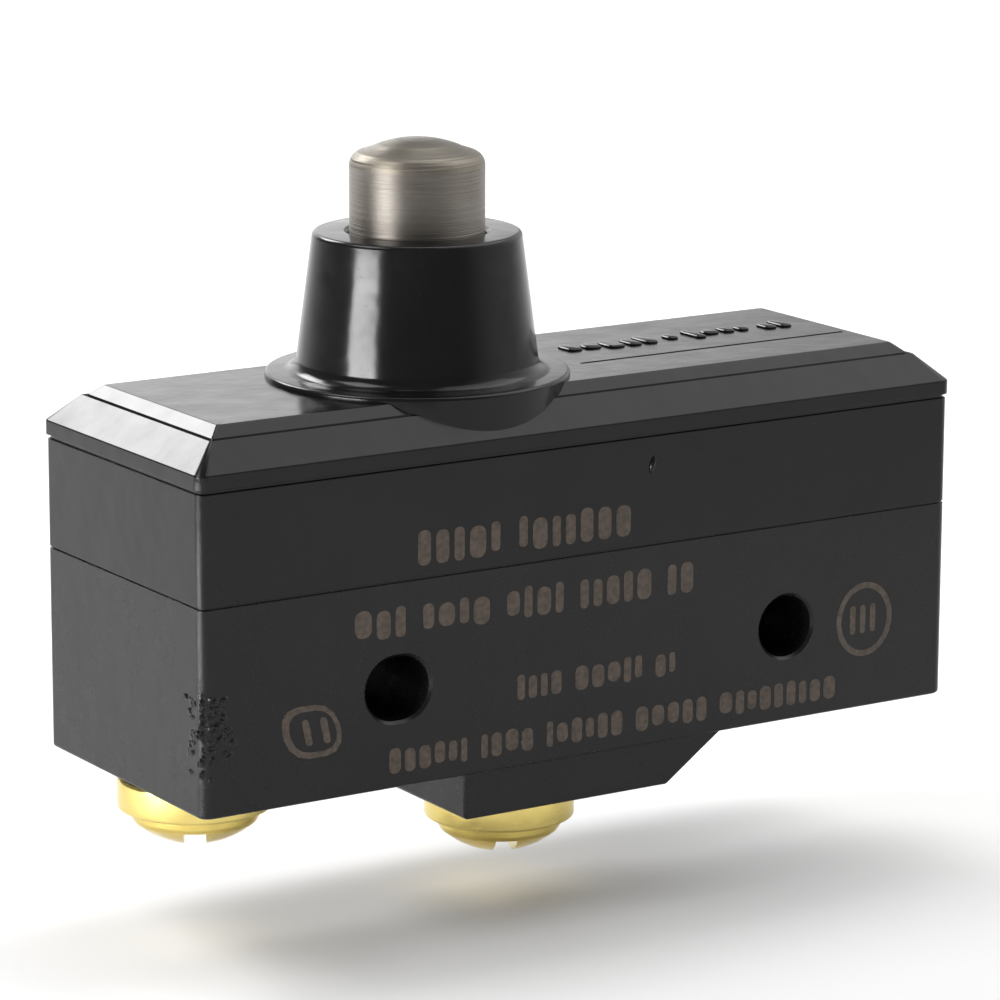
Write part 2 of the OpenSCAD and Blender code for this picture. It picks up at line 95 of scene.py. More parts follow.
LEFT, RIGHT = BASE_LOW.x, BASE_HIGH.x
CASE_MID = (LEFT + RIGHT) / 2
HALF_L = (RIGHT - LEFT) / 2
HALF_T = BASE_HIGH.y
PARTING = BASE_HIGH.z
RIM_OUT = COVER_HIGH.y - HALF_T
STEP_LOW = BASE_LOW.z
BOSS_TOP = COVER_HIGH.z
PLUNGER_X = (PLUNGER_LOW.x + PLUNGER_HIGH.x) / 2
PLUNGER_TOP = PLUNGER_HIGH.z
FRONT_Y = -HALF_T

# Case
CASE_LOW = -5.45
CORNER_R = 0.6
WALL_TOP = 12.9
CASE_TOP = 14.95
BAND_LOW = WALL_TOP - 0.8
CREASE_IN = 1.7
CREASE_UP = 1.4
CHAMFER_IN = 2.5
LINE_GAP = 0.1
LINE_DEEP = 0.12
BAND_GROOVE = 0.22
GROOVE_Y = -2.35
CAVITY_HALF_L = 21.4
CAVITY_HALF_T = 6.75
CEILING = 12.6
CAVITY_FLOOR = 4.3

# Boss below the case, round the normally open terminal
STEP_LEFT = -8.3
STEP_RIGHT = 5.0
STEP_SLANT = 8.7
STEP_FRONT = 0.4

# Conical boss and its bore
FLANGE_R = 8.35
BOSS_R_TOP = 5.7
BOSS_R_FOOT = 6.65
FOOT_Z = CASE_TOP + 0.3
BORE_R = 3.76
SHOULDER_Z = 17.3
CHAMBER_R = 4.4
GUIDE_R = 5.9
GUIDE_TOP = 10.7

# Plunger, with fine turned rings round its side
PLUNGER_R = 3.7
RING_PITCH = 0.22
RING_DEEP = 0.006
SKIRT_R = 4.3
SKIRT_T = 0.9
CUP_R = 2.9
CUP_TOP = PLUNGER_TOP - 1.9
BEVEL_R = 0.8
DOME_H = 0.7

# Mounting holes
HOLE_HALF_SPAN = 12.7
HOLE_R = 1.765
SLOT_SHIFT = 0.215

# Screws of the cover
SCREW_X = 22.2
SCREW_Y = 6.5
SCREW_R = 0.95
SCREW_HEAD_R = 1.7
SCREW_SINK = 1.3
SCREW_TIP = 10.5
POST_R = 1.9

# Terminal hardware
INSERT_R = 2.9
NECK_R = 2.5
INSERT_BORE = 2.13
THREAD_R = 2.08
PITCH = 0.79375
SCREW_LEN = 6.5
WASHER_BORE = 2.3
WASHER_FLOOR = 0.8
WASHER_H = 1.85
WASHER_R = 4.25
HEAD_R = 3.5
HEAD_H = 3.1
CROWN = 1.4
SLOT_W = 1.2
SLOT_DEEP = 1.3
COLLAR_R = 3.8
COLLAR_T = 0.9
STRAP_W = 7.2
STRAP_T = 0.8
NO_STRAP_Z = 2
NO_RISER_X = 6
NC_STRAP_X = 20.9
NC_HOLE_END = 16.9
NC_FOOT = -3.4
NC_SLOT_W = 8.2

COM_X = sum(corner.x for corner in box_mm("com_washer")) / 2
NO_X = sum(corner.x for corner in box_mm("no_washer")) / 2
NO_FACE = box_mm("no_washer")[1].z
NC_FACE = box_mm("nc_washer")[0].x

# Each terminal: place of its face, with the outward direction along local +Z, and the slot's turn
TERMINALS = {
    "com": (Matrix.Translation((COM_X, 0, CASE_LOW)) @ Matrix.Rotation(math.pi, 4, "X"), 120),
    "no": (Matrix.Translation((NO_X, 0, NO_FACE)) @ Matrix.Rotation(math.pi, 4, "X"), 115),
    "nc": (Matrix.Translation((NC_FACE, 0, 0)) @ Matrix.Rotation(math.pi / 2, 4, "Y"), 35),
}

# Print on the front face: height of its film, and (start, end, foot, tall, word ends) of each row
INK_T = 0.014
INK_SINK = 0.01
PRINT_ROWS = (
    (-11.5, 2.5, 6.55, 1.95, (5, 12)),
    (-15.4, 6.5, 2.85, 1.75, (3, 7, 11, 16)),
    (-5.2, 5.4, -1.7, 1.45, (4, 9)),
    (-13.3, 16.2, -4.62, 1.45, (6, 10, 16, 21)),
)

# ---------------------------------------------------------------- outlines


def fillets(corners, steps=4, closed=False):
    """Outline through corners (x, y, radius), with an arc at each corner that has a radius."""
    points = []
    count = len(corners)
    for i, (x, y, radius) in enumerate(corners):
        here = Vector((x, y))
        if radius == 0 or (not closed and i in (0, count - 1)):
            points.append(here)
            continue
        before = Vector(corners[i - 1][:2]) - here
        after = Vector(corners[(i + 1) % count][:2]) - here
        half = before.angle(after) / 2
        room = radius / math.tan(half)
        start = here + before.normalized() * room
        end = here + after.normalized() * room
        centre = here + (before.normalized() + after.normalized()).normalized() * radius / math.sin(half)
        a = math.atan2(start.y - centre.y, start.x - centre.x)
        b = math.atan2(end.y - centre.y, end.x - centre.x)
        sweep = (b - a + math.pi) % TURN - math.pi
        for k in range(steps + 1):
            angle = a + sweep * k / steps
            points.append(centre + radius * Vector((math.cos(angle), math.sin(angle))))
    return points


def rounded_ring(half_x, half_y, radius, z, steps=5):
    """Ring of points on a rounded rectangle about the middle of the case."""
    points = []
    for side_x, side_y, start in ((1, 1, 0), (-1, 1, 90), (-1, -1, 180), (1, -1, 270)):
        for i in range(steps + 1):
            angle = math.radians(start + 90 * i / steps)
            points.append(Vector((
                CASE_MID + side_x * (half_x - radius) + radius * math.cos(angle),
                side_y * (half_y - radius) + radius * math.sin(angle),
                z,
            )))
    return points


def stadium(half_span, radius, steps=48):
    """Flat outline round two half circles whose centres are half_span either side of the origin."""
    points = []
    for i in range(steps):
        angle = TURN * (i + 0.5) / steps
        side = half_span if math.cos(angle) > 0 else -half_span
        points.append(Vector((side + radius * math.cos(angle), radius * math.sin(angle))))
    return points


# ---------------------------------------------------------------- meshes


def loft(bm, rings):
    """Closed skin through rings that have the same number of points."""
    loops = [[bm.verts.new(p) for p in ring] for ring in rings]
    for low, high in zip(loops, loops[1:]):
        for i in range(len(low)):
            j = (i + 1) % len(low)
            bm.faces.new((low[i], low[j], high[j], high[i]))
    bm.faces.new(list(reversed(loops[0])))
    bm.faces.new(loops[-1])


def revolve(bm, profile, steps=96, closed=False, centre=(0, 0)):
    """Skin of an outline (radius, height) turned about the upright line through centre."""
    rings = []
    for point in profile:
        if abs(point[0]) < 1e-6:
            rings.append([bm.verts.new((centre[0], centre[1], point[1]))])
            continue
        rings.append([
            bm.verts.new((
                centre[0] + point[0] * math.cos(TURN * i / steps),
                centre[1] + point[0] * math.sin(TURN * i / steps),
                point[1],
            ))
            for i in range(steps)
        ])
    pairs = list(zip(rings, rings[1:]))
    if closed:
        pairs.append((rings[-1], rings[0]))
    for low, high in pairs:
        if len(low) == 1 and len(high) == 1:
            continue
        for i in range(steps):
            j = (i + 1) % steps
            corners = [low[i % len(low)], low[j % len(low)], high[j % len(high)], high[i % len(high)]]
            bm.faces.new(list(dict.fromkeys(corners)))


def tidy_normals(bm):
    bmesh.ops.recalc_face_normals(bm, faces=bm.faces)


def solid(name, build):
    """Object in millimetres whose mesh is filled by build(bmesh)."""
    bm = bmesh.new()
    build(bm)
    tidy_normals(bm)
    mesh = bpy.data.meshes.new(name)
    bm.to_mesh(mesh)
    bm.free()
    item = bpy.data.objects.new(name, mesh)
    bpy.context.scene.collection.objects.link(item)
    return item


def evaluated_mesh(item):
    """The object's mesh with its modifiers applied."""
    graph = bpy.context.evaluated_depsgraph_get()
    graph.update()
    return bpy.data.meshes.new_from_object(item.evaluated_get(graph))


def settle(item):
    """Applies the modifiers to the object's own mesh."""
    mesh = evaluated_mesh(item)
    item.modifiers.clear()
    old = item.data
    item.data = mesh
    bpy.data.meshes.remove(old)


def combine(item, tool, operation):
    """Adds or takes away another solid, which is then removed."""
    change = item.modifiers.new(operation, "BOOLEAN")
    change.operation = operation
    change.solver = "EXACT"
    change.object = tool
    settle(item)
    mesh = tool.data
    bpy.data.objects.remove(tool)
    bpy.data.meshes.remove(mesh)


def add(item, build):
    combine(item, solid("tool", build), "UNION")


def cut(item, build):
    combine(item, solid("tool", build), "DIFFERENCE")


def place(item, body, material, replaced=(), matrix=None, sharp_degrees=32):
    """Turns an object in millimetres into a finished piece that rides on a CAD body."""
    mesh = item.data
    if matrix is not None:
        mesh.transform(matrix)
    mesh.transform(Matrix.Scale(MM, 4))
    mesh.materials.clear()
    mesh.materials.append(material)
    mesh.shade_smooth()
    mesh.set_sharp_from_angle(angle=math.radians(sharp_degrees))
    weigh = item.modifiers.new("weigh", "WEIGHTED_NORMAL")
    weigh.keep_sharp = True
    weigh.mode = "FACE_AREA"
    settle(item)
    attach(item, body)
    if replaced:
        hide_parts(*replaced)
    return item


def box_build(low, high):
    """Builder of a box given by its two corners."""

    def build(bm):
        middle = (Vector(low) + Vector(high)) / 2
        size = Vector(high) - Vector(low)
        bmesh.ops.create_cube(bm, size=1, matrix=Matrix.Translation(middle) @ Matrix.Diagonal((*size, 1)))

    return build


def lathe_build(profile, steps=96, centre=(0, 0), matrix=None, closed=False):
    """Builder of a turned solid, optionally moved by a matrix."""

    def build(bm):
        revolve(bm, profile, steps, closed, centre)
        if matrix is not None:
            bmesh.ops.transform(bm, matrix=matrix, verts=bm.verts)

    return build


def rod_build(radius, low, high, centre=(0, 0), steps=64, matrix=None):
    """Builder of an upright round rod."""
    return lathe_build([(0, low), (radius, low), (radius, high), (0, high)], steps, centre, matrix)


# ---------------------------------------------------------------- materials


class Nodes:
    """Short way to lay out a procedural material."""

    def __init__(self, name):
        self.material = bpy.data.materials.new(name)
        self.material.use_nodes = True
        self.tree = self.material.node_tree
        self.shader = self.tree.nodes["Principled BSDF"]
        place_in = self.tree.nodes.new("ShaderNodeTexCoord")
        self.coords = self.scaled(place_in.outputs["Object"], (1 / MM, 1 / MM, 1 / MM))

    def scaled(self, source, scale):
        """The same coordinates, stretched. Without a stretch they are in millimetres."""
        node = self.tree.nodes.new("ShaderNodeMapping")
        node.inputs["Scale"].default_value = scale
        self.tree.links.new(source, node.inputs["Vector"])
        return node.outputs["Vector"]

    def noise(self, scale, detail=3, stretch=(1, 1, 1), rough=0.5):
        """Noise with about scale blobs to a millimetre."""
        node = self.tree.nodes.new("ShaderNodeTexNoise")
        node.inputs["Scale"].default_value = scale
        node.inputs["Detail"].default_value = detail
        node.inputs["Roughness"].default_value = rough
        self.tree.links.new(self.scaled(self.coords, stretch), node.inputs["Vector"])
        return node.outputs["Fac"]

    def ramp(self, source, low, high, start, end):
        """Value that goes from low to high while source goes from start to end."""
        node = self.tree.nodes.new("ShaderNodeMapRange")
        node.inputs["From Min"].default_value = start
        node.inputs["From Max"].default_value = end
        node.inputs["To Min"].default_value = low
        node.inputs["To Max"].default_value = high
        self.tree.links.new(source, node.inputs["Value"])
        return node.outputs["Result"]

    def math(self, operation, a, b):
        node = self.tree.nodes.new("ShaderNodeMath")
        node.operation = operation
        for socket, value in zip(node.inputs, (a, b)):
            if isinstance(value, (int, float)):
                socket.default_value = value
            else:
                self.tree.links.new(value, socket)
        return node.outputs[0]

    def mix(self, factor, first, second):
        """Colour between first and second, each a colour or a socket."""
        node = self.tree.nodes.new("ShaderNodeMix")
        node.data_type = "RGBA"
        self.tree.links.new(factor, node.inputs["Factor"])
        for name, value in (("A", first), ("B", second)):
            socket = next(s for s in node.inputs if s.name == name and s.type == "RGBA")
            if isinstance(value, tuple):
                socket.default_value = (*value, 1)
            else:
                self.tree.links.new(value, socket)
        return next(s for s in node.outputs if s.type == "RGBA")

    def bump(self, height, depth, strength=1.0):
        """Surface relief of depth millimetres."""
        node = self.tree.nodes.new("ShaderNodeBump")
        node.inputs["Strength"].default_value = strength
        node.inputs["Distance"].default_value = depth * MM
        self.tree.links.new(height, node.inputs["Height"])
        self.tree.links.new(node.outputs["Normal"], self.shader.inputs["Normal"])

    def set(self, **values):
        """Sets shader inputs to a uniform value, or links them to a socket."""
        for key, value in values.items():
            socket = self.shader.inputs[key.replace("_", " ")]
            if isinstance(value, bpy.types.NodeSocket):
                self.tree.links.new(value, socket)
            else:
                socket.default_value = (*value, 1) if isinstance(value, tuple) else value


def scaled_colour(colour, factors):
    """The colour with each channel multiplied by its factor, up to 1."""
    return tuple(min(1, c * f) for c, f in zip(colour, factors))


def phenolic(name, dark, light, gloss, shine):
    """Moulded thermoset: near black, filler specks, a slightly wavy skin and rubbed spots."""
    n = Nodes(name)
    blotch = n.noise(0.12, 4)
    speck = n.noise(5.5, 2, rough=0.7)
    shade = n.mix(n.ramp(blotch, 0, 1, 0.3, 0.7), dark, light)
    speck_mask = n.ramp(speck, 0, 0.35, 0.68, 0.8)
    n.set(Base_Color=n.mix(speck_mask, shade, scaled_colour(light, (4, 4, 4))))
    rub = n.math("ADD", n.noise(0.5, 5, (1, 1, 0.3)), n.math("MULTIPLY", speck, 0.3))
    n.set(Roughness=n.ramp(rub, gloss, gloss + 0.1, 0.35, 0.95))
    skin = n.math("ADD", n.math("MULTIPLY", n.noise(0.35, 2), 1.6), n.math("MULTIPLY", n.noise(7, 2), 0.02))
    n.bump(skin, 0.025)
    n.set(**{"Specular IOR Level": shine})
    return n.material


def brass(name, colour, rough):
    """Yellow brass with turning or press marks and a little tarnish."""
    n = Nodes(name)
    patch = n.ramp(n.noise(0.45, 4), 0, 0.35, 0.5, 0.8)
    n.set(Base_Color=n.mix(patch, colour, scaled_colour(colour, (0.62, 0.55, 0.45))), Metallic=1.0)
    streak = n.noise(1.6, 4, (1, 1, 3))
    n.set(Roughness=n.ramp(streak, rough, rough + 0.16, 0.3, 0.8))
    n.bump(n.math("ADD", n.noise(0.9, 1), n.math("MULTIPLY", n.noise(7, 1), 0.05)), 0.03)
    return n.material


def steel(name, colour, rough, rings=0.0):
    """Steel with faint stains. With rings it is turned, and its gloss is drawn out along the axis."""
    n = Nodes(name)
    stain = n.ramp(n.noise(0.35, 5, (1, 1, 1.8)), 0, 0.5, 0.42, 0.75)
    n.set(Base_Color=n.mix(stain, colour, scaled_colour(colour, (0.78, 0.74, 0.68))), Metallic=1.0)
    if rings:
        fine = n.noise(1.0, 4, (0.04, 0.04, 9), rough=0.65)
        coarse = n.noise(1.0, 2, (0.03, 0.03, 2.2))
        n.bump(n.math("ADD", fine, coarse), 0.06)
        n.set(Roughness=n.ramp(fine, rough, rough + 0.18, 0.3, 0.75))
        n.set(Anisotropic=rings, Anisotropic_Rotation=0.25)
    else:
        n.bump(n.noise(3, 3), 0.01)
        n.set(Roughness=n.ramp(n.noise(1.2, 3), rough, rough + 0.12, 0.3, 0.75))
    return n.material


def moulded(name, colour, rough):
    """Plain moulded or laminated insulator with a little mottling."""
    n = Nodes(name)
    darker, lighter = scaled_colour(colour, (0.85,) * 3), scaled_colour(colour, (1.12,) * 3)
    n.set(Base_Color=n.mix(n.noise(0.9, 4), darker, lighter))
    n.set(Roughness=n.ramp(n.noise(2.5, 3), rough, rough + 0.15, 0.3, 0.7))
    n.bump(n.noise(5, 3), 0.015)
    return n.material


def ink(name, colour):
    """Thin pad-printed ink with an uneven film."""
    n = Nodes(name)
    film = n.ramp(n.noise(3.2, 4), 0, 1, 0.3, 0.62)
    n.set(Base_Color=n.mix(film, scaled_colour(colour, (0.45,) * 3), colour))
    n.set(Roughness=n.ramp(n.noise(4, 2), 0.5, 0.7, 0.3, 0.7))
    n.bump(n.noise(6, 2), 0.006)
    return n.material


BASE_PHENOLIC = phenolic("base_phenolic", (0.0055, 0.0055, 0.0058), (0.0085, 0.0082, 0.0082), 0.22, 0.27)
COVER_PHENOLIC = phenolic("cover_phenolic", (0.0045, 0.0045, 0.005), (0.007, 0.007, 0.0072), 0.13, 0.24)
SCREW_BRASS = brass("terminal_brass", (0.74, 0.58, 0.17), 0.14)
WASHER_BRASS = brass("washer_brass", (0.76, 0.61, 0.2), 0.15)
INSERT_BRASS = brass("insert_brass", (0.72, 0.55, 0.18), 0.22)
STRAP_BRASS = brass("strap_brass", (0.84, 0.67, 0.31), 0.3)
RIVET_BRASS = brass("rivet_brass", (0.8, 0.62, 0.27), 0.28)
COPPER = brass("beryllium_copper", (0.86, 0.56, 0.32), 0.22)
CONTACT_SILVER = steel("contact_silver", (0.88, 0.87, 0.84), 0.25)
PLUNGER_STEEL = steel("plunger_steel", (0.23, 0.212, 0.19), 0.42, rings=0.85)
DOME_STEEL = steel("plunger_dome", (0.21, 0.19, 0.16), 0.3, rings=0.15)
SCREW_STEEL = steel("screw_steel", (0.55, 0.54, 0.52), 0.3)
SPRING_STEEL = steel("spring_steel", (0.5, 0.5, 0.5), 0.25)
GUIDE_PLASTIC = moulded("guide_nylon", (0.72, 0.68, 0.58), 0.4)
PIN_PLASTIC = moulded("pin_phenolic", (0.3, 0.19, 0.1), 0.35)
PRINT_INK = ink("print_ink", (0.085, 0.062, 0.045))

CAD_LOOKS = {
    GUIDE_PLASTIC: ["guide_plate"],
    PIN_PLASTIC: ["drive_pin"],
    COPPER: ["snap_spring", "blade_root"],
    RIVET_BRASS: ["blade_rivet", "anchor_rivet"],
    CONTACT_SILVER: ["moving_contact", "no_contact", "nc_contact"],
    STRAP_BRASS: ["spring_anchor", "com_terminal", "no_terminal", "nc_terminal"],
}


def dress_cad_nodes():
    """Gives each CAD node that stays in view its own procedural finish."""
    for material, names in CAD_LOOKS.items():
        for name in names:
            mesh = frame["nodes"][name].data
            mesh.materials.clear()
            mesh.materials.append(material)


# ---------------------------------------------------------------- housing


def at_cover_screws():
    """Centres of the four screws that hold the case together."""
    return [(CASE_MID + sx * SCREW_X, sy * SCREW_Y) for sx in (-1, 1) for sy in (-1, 1)]


def walls(bm, profile, radius):
    """Case walls: each profile point is (inset from the rim band, height). Corners tighten inwards."""
    half_x, half_y = HALF_L + RIM_OUT, HALF_T + RIM_OUT
    loft(bm, [
        rounded_ring(half_x - inset, half_y - inset, max(radius - 0.3 * inset, 0.14), z)
        for inset, z in profile
    ])


def cavity_build(low, high):
    """Builder of the room inside the case."""

    def build(bm):
        loft(bm, [rounded_ring(CAVITY_HALF_L, CAVITY_HALF_T, 1, z) for z in (low, high)])

    return build


def cover_walls(bm):
    """Outside of the cover: parting line, wall, rim band, chamfer with its crease, and top."""
    recess = RIM_OUT + LINE_DEEP
    walls(bm, fillets([
        (recess, PARTING, 0),
        (recess, PARTING + LINE_GAP, 0),
        (RIM_OUT, PARTING + LINE_GAP, 0.05),
        (RIM_OUT, BAND_LOW - BAND_GROOVE, 0.05),
        (recess, BAND_LOW - BAND_GROOVE + 0.06, 0),
        (recess, BAND_LOW, 0),
        (0, BAND_LOW, 0.06),
        (0, WALL_TOP, 0.14),
        (CREASE_IN - 0.12, WALL_TOP + CREASE_UP + 0.06, 0.06),
        (CREASE_IN + 0.06, WALL_TOP + CREASE_UP - 0.04, 0),
        (CREASE_IN + 0.14, WALL_TOP + CREASE_UP + 0.1, 0.04),
        (CHAMFER_IN, CASE_TOP, 0.16),
        (CHAMFER_IN + 1, CASE_TOP, 0),
    ], steps=3), CORNER_R)


def boss_profile():
    """Outline of the round flange and the conical boss."""
    return fillets([
        (0, WALL_TOP - 0.2, 0),
        (FLANGE_R, WALL_TOP - 0.2, 0),
        (FLANGE_R, FOOT_Z, 0.2),
        (BOSS_R_FOOT + 0.05, FOOT_Z, 0.75),
        (BOSS_R_TOP, BOSS_TOP, 0.28),
        (0, BOSS_TOP, 0),
    ], steps=6)


def label_groove(bm):
    """Long shallow groove across the top, with sloping sides."""
    start = PLUNGER_X + FLANGE_R + 0.8
    end = RIGHT - CHAMFER_IN - 0.4
    section = [(-0.09, -0.12), (0.09, -0.12), (0.23, 0.1), (-0.23, 0.1)]
    loft(bm, [[Vector((x, GROOVE_Y + y, CASE_TOP + z)) for y, z in section] for x in (start, end)])


def build_cover():
    cover = solid("switch_cover", cover_walls)
    add(cover, lathe_build(boss_profile(), 128, (PLUNGER_X, 0)))
    cut(cover, cavity_build(PARTING - 1, CEILING))
    for centre in at_cover_screws():
        add(cover, rod_build(POST_R, PARTING, CEILING + 0.1, centre, 32))
    add(cover, rod_build(GUIDE_R, GUIDE_TOP, CEILING + 0.1, (PLUNGER_X, 0)))
    cut(cover, lathe_build(fillets([
        (0, GUIDE_TOP - 1, 0),
        (CHAMBER_R, GUIDE_TOP - 1, 0),
        (CHAMBER_R, SHOULDER_Z, 0),
        (BORE_R, SHOULDER_Z, 0),
        (BORE_R, BOSS_TOP - 0.22, 0.15),
        (BORE_R + 0.45, BOSS_TOP + 0.2, 0),
        (0, BOSS_TOP + 0.2, 0),
    ]), 96, (PLUNGER_X, 0)))
    for centre in at_cover_screws():
        cut(cover, rod_build(SCREW_R, PARTING - 1, SCREW_TIP, centre, 24))
    cut(cover, label_groove)
    place(cover, "housing", COVER_PHENOLIC, ["cover"])


def base_walls(bm):
    walls(bm, fillets([
        (RIM_OUT + 1, CASE_LOW, 0),
        (RIM_OUT, CASE_LOW, 0.2),
        (RIM_OUT, PARTING, 0.04),
        (RIM_OUT + 1, PARTING, 0),
    ]), CORNER_R)


def step_build(bm):
    """Boss below the case: a slanted trapezoid with softened ends."""
    half = HALF_T - STEP_FRONT

    def ring(y, inset):
        return [
            Vector((p.x, y, p.y)) for p in fillets([
                (STEP_LEFT + inset, CASE_LOW + 1, 0),
                (STEP_LEFT + inset, STEP_LOW + inset, 0.3),
                (STEP_RIGHT - 0.5 * inset, STEP_LOW + inset, 0.3),
                (STEP_SLANT - 0.8 * inset, CASE_LOW, 0),
                (STEP_SLANT - 0.8 * inset, CASE_LOW + 1, 0),
            ])
        ]

    soft = 0.18
    ends = [
        (soft * (1 - math.sin(a)), soft * (1 - math.cos(a)))
        for a in (0, math.pi / 6, math.pi / 3, math.pi / 2)
    ]
    front = [ring(-half + out, inset) for inset, out in ends]
    back = [ring(half - out, inset) for inset, out in reversed(ends)]
    loft(bm, front + back)


def mounting_hole_build(x, shift):
    """Hole through the thickness with a small rounded mouth on each face."""
    mouth = 0.16

    def build(bm):
        growths = [(HALF_T + 0.3, mouth), (HALF_T, mouth)]
        growths += [
            (HALF_T - mouth * math.sin(a), mouth * (1 - math.cos(math.pi / 2 - a)))
            for a in (math.pi / 6, math.pi / 3, math.pi / 2)
        ]
        levels = growths + [(-y, g) for y, g in reversed(growths)]
        loft(bm, [[Vector((x + p.x, y, p.y)) for p in stadium(shift, HOLE_R + g)] for y, g in levels])

    return build


def counterbore_build(centre):
    """Stepped hole for a cover screw, up through the base."""
    lip = 0.12
    return lathe_build([
        (0, CASE_LOW - 1),
        (SCREW_HEAD_R + 0.15 + lip, CASE_LOW - 1),
        (SCREW_HEAD_R + 0.15 + lip, CASE_LOW),
        (SCREW_HEAD_R + 0.15, CASE_LOW + lip),
        (SCREW_HEAD_R + 0.15, CASE_LOW + SCREW_SINK),
        (SCREW_R + 0.15, CASE_LOW + SCREW_SINK),
        (SCREW_R + 0.15, PARTING + 1),
        (0, PARTING + 1),
    ], 32, centre)


def cut_terminal_pockets(base):
    """Seats for the straps and the threaded inserts of the three terminals."""
    pocket = STRAP_W / 2 + 0.2
    near, far = NO_X - STRAP_W / 2 - 0.1, NO_RISER_X + 0.1
    slot = NC_SLOT_W / 2
    sideways = Matrix.Rotation(math.pi / 2, 4, "Y")
    cut(base, box_build((COM_X - INSERT_R, -pocket, CAVITY_FLOOR - 0.01), (LEFT + 4, pocket, PARTING + 1)))
    cut(base, rod_build(INSERT_R, CASE_LOW - 1, CAVITY_FLOOR + 0.5, (COM_X, 0)))
    cut(base, box_build((near, -pocket, NO_STRAP_Z), (far, pocket, CAVITY_FLOOR + 1)))
    cut(base, rod_build(INSERT_R, STEP_LOW - 1, NO_STRAP_Z + 0.5, (NO_X, 0)))
    cut(base, box_build(
        (NC_STRAP_X - STRAP_T - 0.1, -slot, NC_FOOT - 0.1),
        (NC_STRAP_X + 0.1, slot, CAVITY_FLOOR + 1),
    ))
    cut(base, rod_build(INSERT_R, NC_STRAP_X, RIGHT + 1, matrix=sideways))
    cut(base, rod_build(NECK_R, NC_HOLE_END, NC_STRAP_X + 1, matrix=sideways))


def build_base():
    base = solid("switch_base", base_walls)
    add(base, step_build)
    cut(base, cavity_build(CAVITY_FLOOR, PARTING + 1))
    for centre in at_cover_screws():
        add(base, rod_build(POST_R, CAVITY_FLOOR - 0.1, PARTING, centre, 32))
    cut(base, mounting_hole_build(-HOLE_HALF_SPAN, SLOT_SHIFT))
    cut(base, mounting_hole_build(HOLE_HALF_SPAN, 0))
    cut_terminal_pockets(base)
    for centre in at_cover_screws():
        cut(base, counterbore_build(centre))
    place(base, "housing", BASE_PHENOLIC, ["base"])


# ---------------------------------------------------------------- plunger and spring


def crown_of(radius, height):
    """Radius of a dome of that base radius and height, and half the angle that it covers."""
    dome_r = (radius ** 2 + height ** 2) / (2 * height)
    return dome_r, math.asin(radius / dome_r)


def build_plunger():
    """Domed plunger with a skirt that stops it in the boss, hollow below for its spring."""
    edge_r = PLUNGER_R - BEVEL_R
    edge_z = PLUNGER_TOP - DOME_H
    dome_r, dome_a = crown_of(edge_r, DOME_H)
    profile = [
        (CUP_R, SHOULDER_Z - SKIRT_T),
        (SKIRT_R - 0.1, SHOULDER_Z - SKIRT_T),
        (SKIRT_R, SHOULDER_Z - SKIRT_T + 0.1),
        (SKIRT_R, SHOULDER_Z - 0.1),
        (SKIRT_R - 0.1, SHOULDER_Z),
        (PLUNGER_R, SHOULDER_Z),
    ]
    rise = edge_z - BEVEL_R - SHOULDER_Z
    for i in range(1, int(rise / RING_PITCH)):
        profile.append((PLUNGER_R - RING_DEEP * (i % 2), SHOULDER_Z + RING_PITCH * i))
    for k in range(9):
        angle = (math.pi / 2 - dome_a / 2) * k / 8
        profile.append((edge_r + BEVEL_R * math.cos(angle), edge_z - BEVEL_R + BEVEL_R * math.sin(angle)))
    for k in range(13):
        angle = dome_a * (0.9 - 0.9 * k / 12)
        profile.append((dome_r * math.sin(angle), PLUNGER_TOP - dome_r + dome_r * math.cos(angle)))
    profile += [(0, CUP_TOP), (CUP_R, CUP_TOP)]
    plunger = solid("plunger_button", lathe_build(profile, 128, (PLUNGER_X, 0), closed=True))
    place(plunger, "plunger", PLUNGER_STEEL, ["plunger"])
    plunger.data.materials.append(DOME_STEEL)
    for face in plunger.data.polygons:
        if face.center.z > (edge_z - BEVEL_R) * MM:
            face.material_index = 1


def build_spring():
    """Round-wire coil with closed end turns, drawn out between the drive pin and the plunger's cup."""
    wire = 0.35
    coil_r = (SPRING_HIGH.x - SPRING_LOW.x) / 2 - wire
    low, high = SPRING_LOW.z + wire, SPRING_HIGH.z - wire
    turns, closed, steps, sides = 8, 0.8, 40, 14
    flat = 2 * wire + 0.02
    rise = high - low - 2 * closed * flat

    def height(t):
        if t < closed:
            return low + t * flat
        if t > turns - closed:
            return high - (turns - t) * flat
        return low + closed * flat + (t - closed) / (turns - 2 * closed) * rise

    def build(bm):
        rings = []
        for i in range(turns * steps + 1):
            t = i / steps
            ring = []
            for j in range(sides):
                b = TURN * j / sides
                r = coil_r + wire * math.cos(b)
                ring.append(Vector((
                    PLUNGER_X + r * math.cos(TURN * t),
                    r * math.sin(TURN * t),
                    height(t) + wire * math.sin(b),
                )))
            rings.append(ring)
        loft(bm, rings)

    coil = solid("overtravel_coil", build)
    spring = place(coil, "plunger", SPRING_STEEL, ["overtravel_spring"])
    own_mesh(spring)


# ---------------------------------------------------------------- screws, washers and inserts


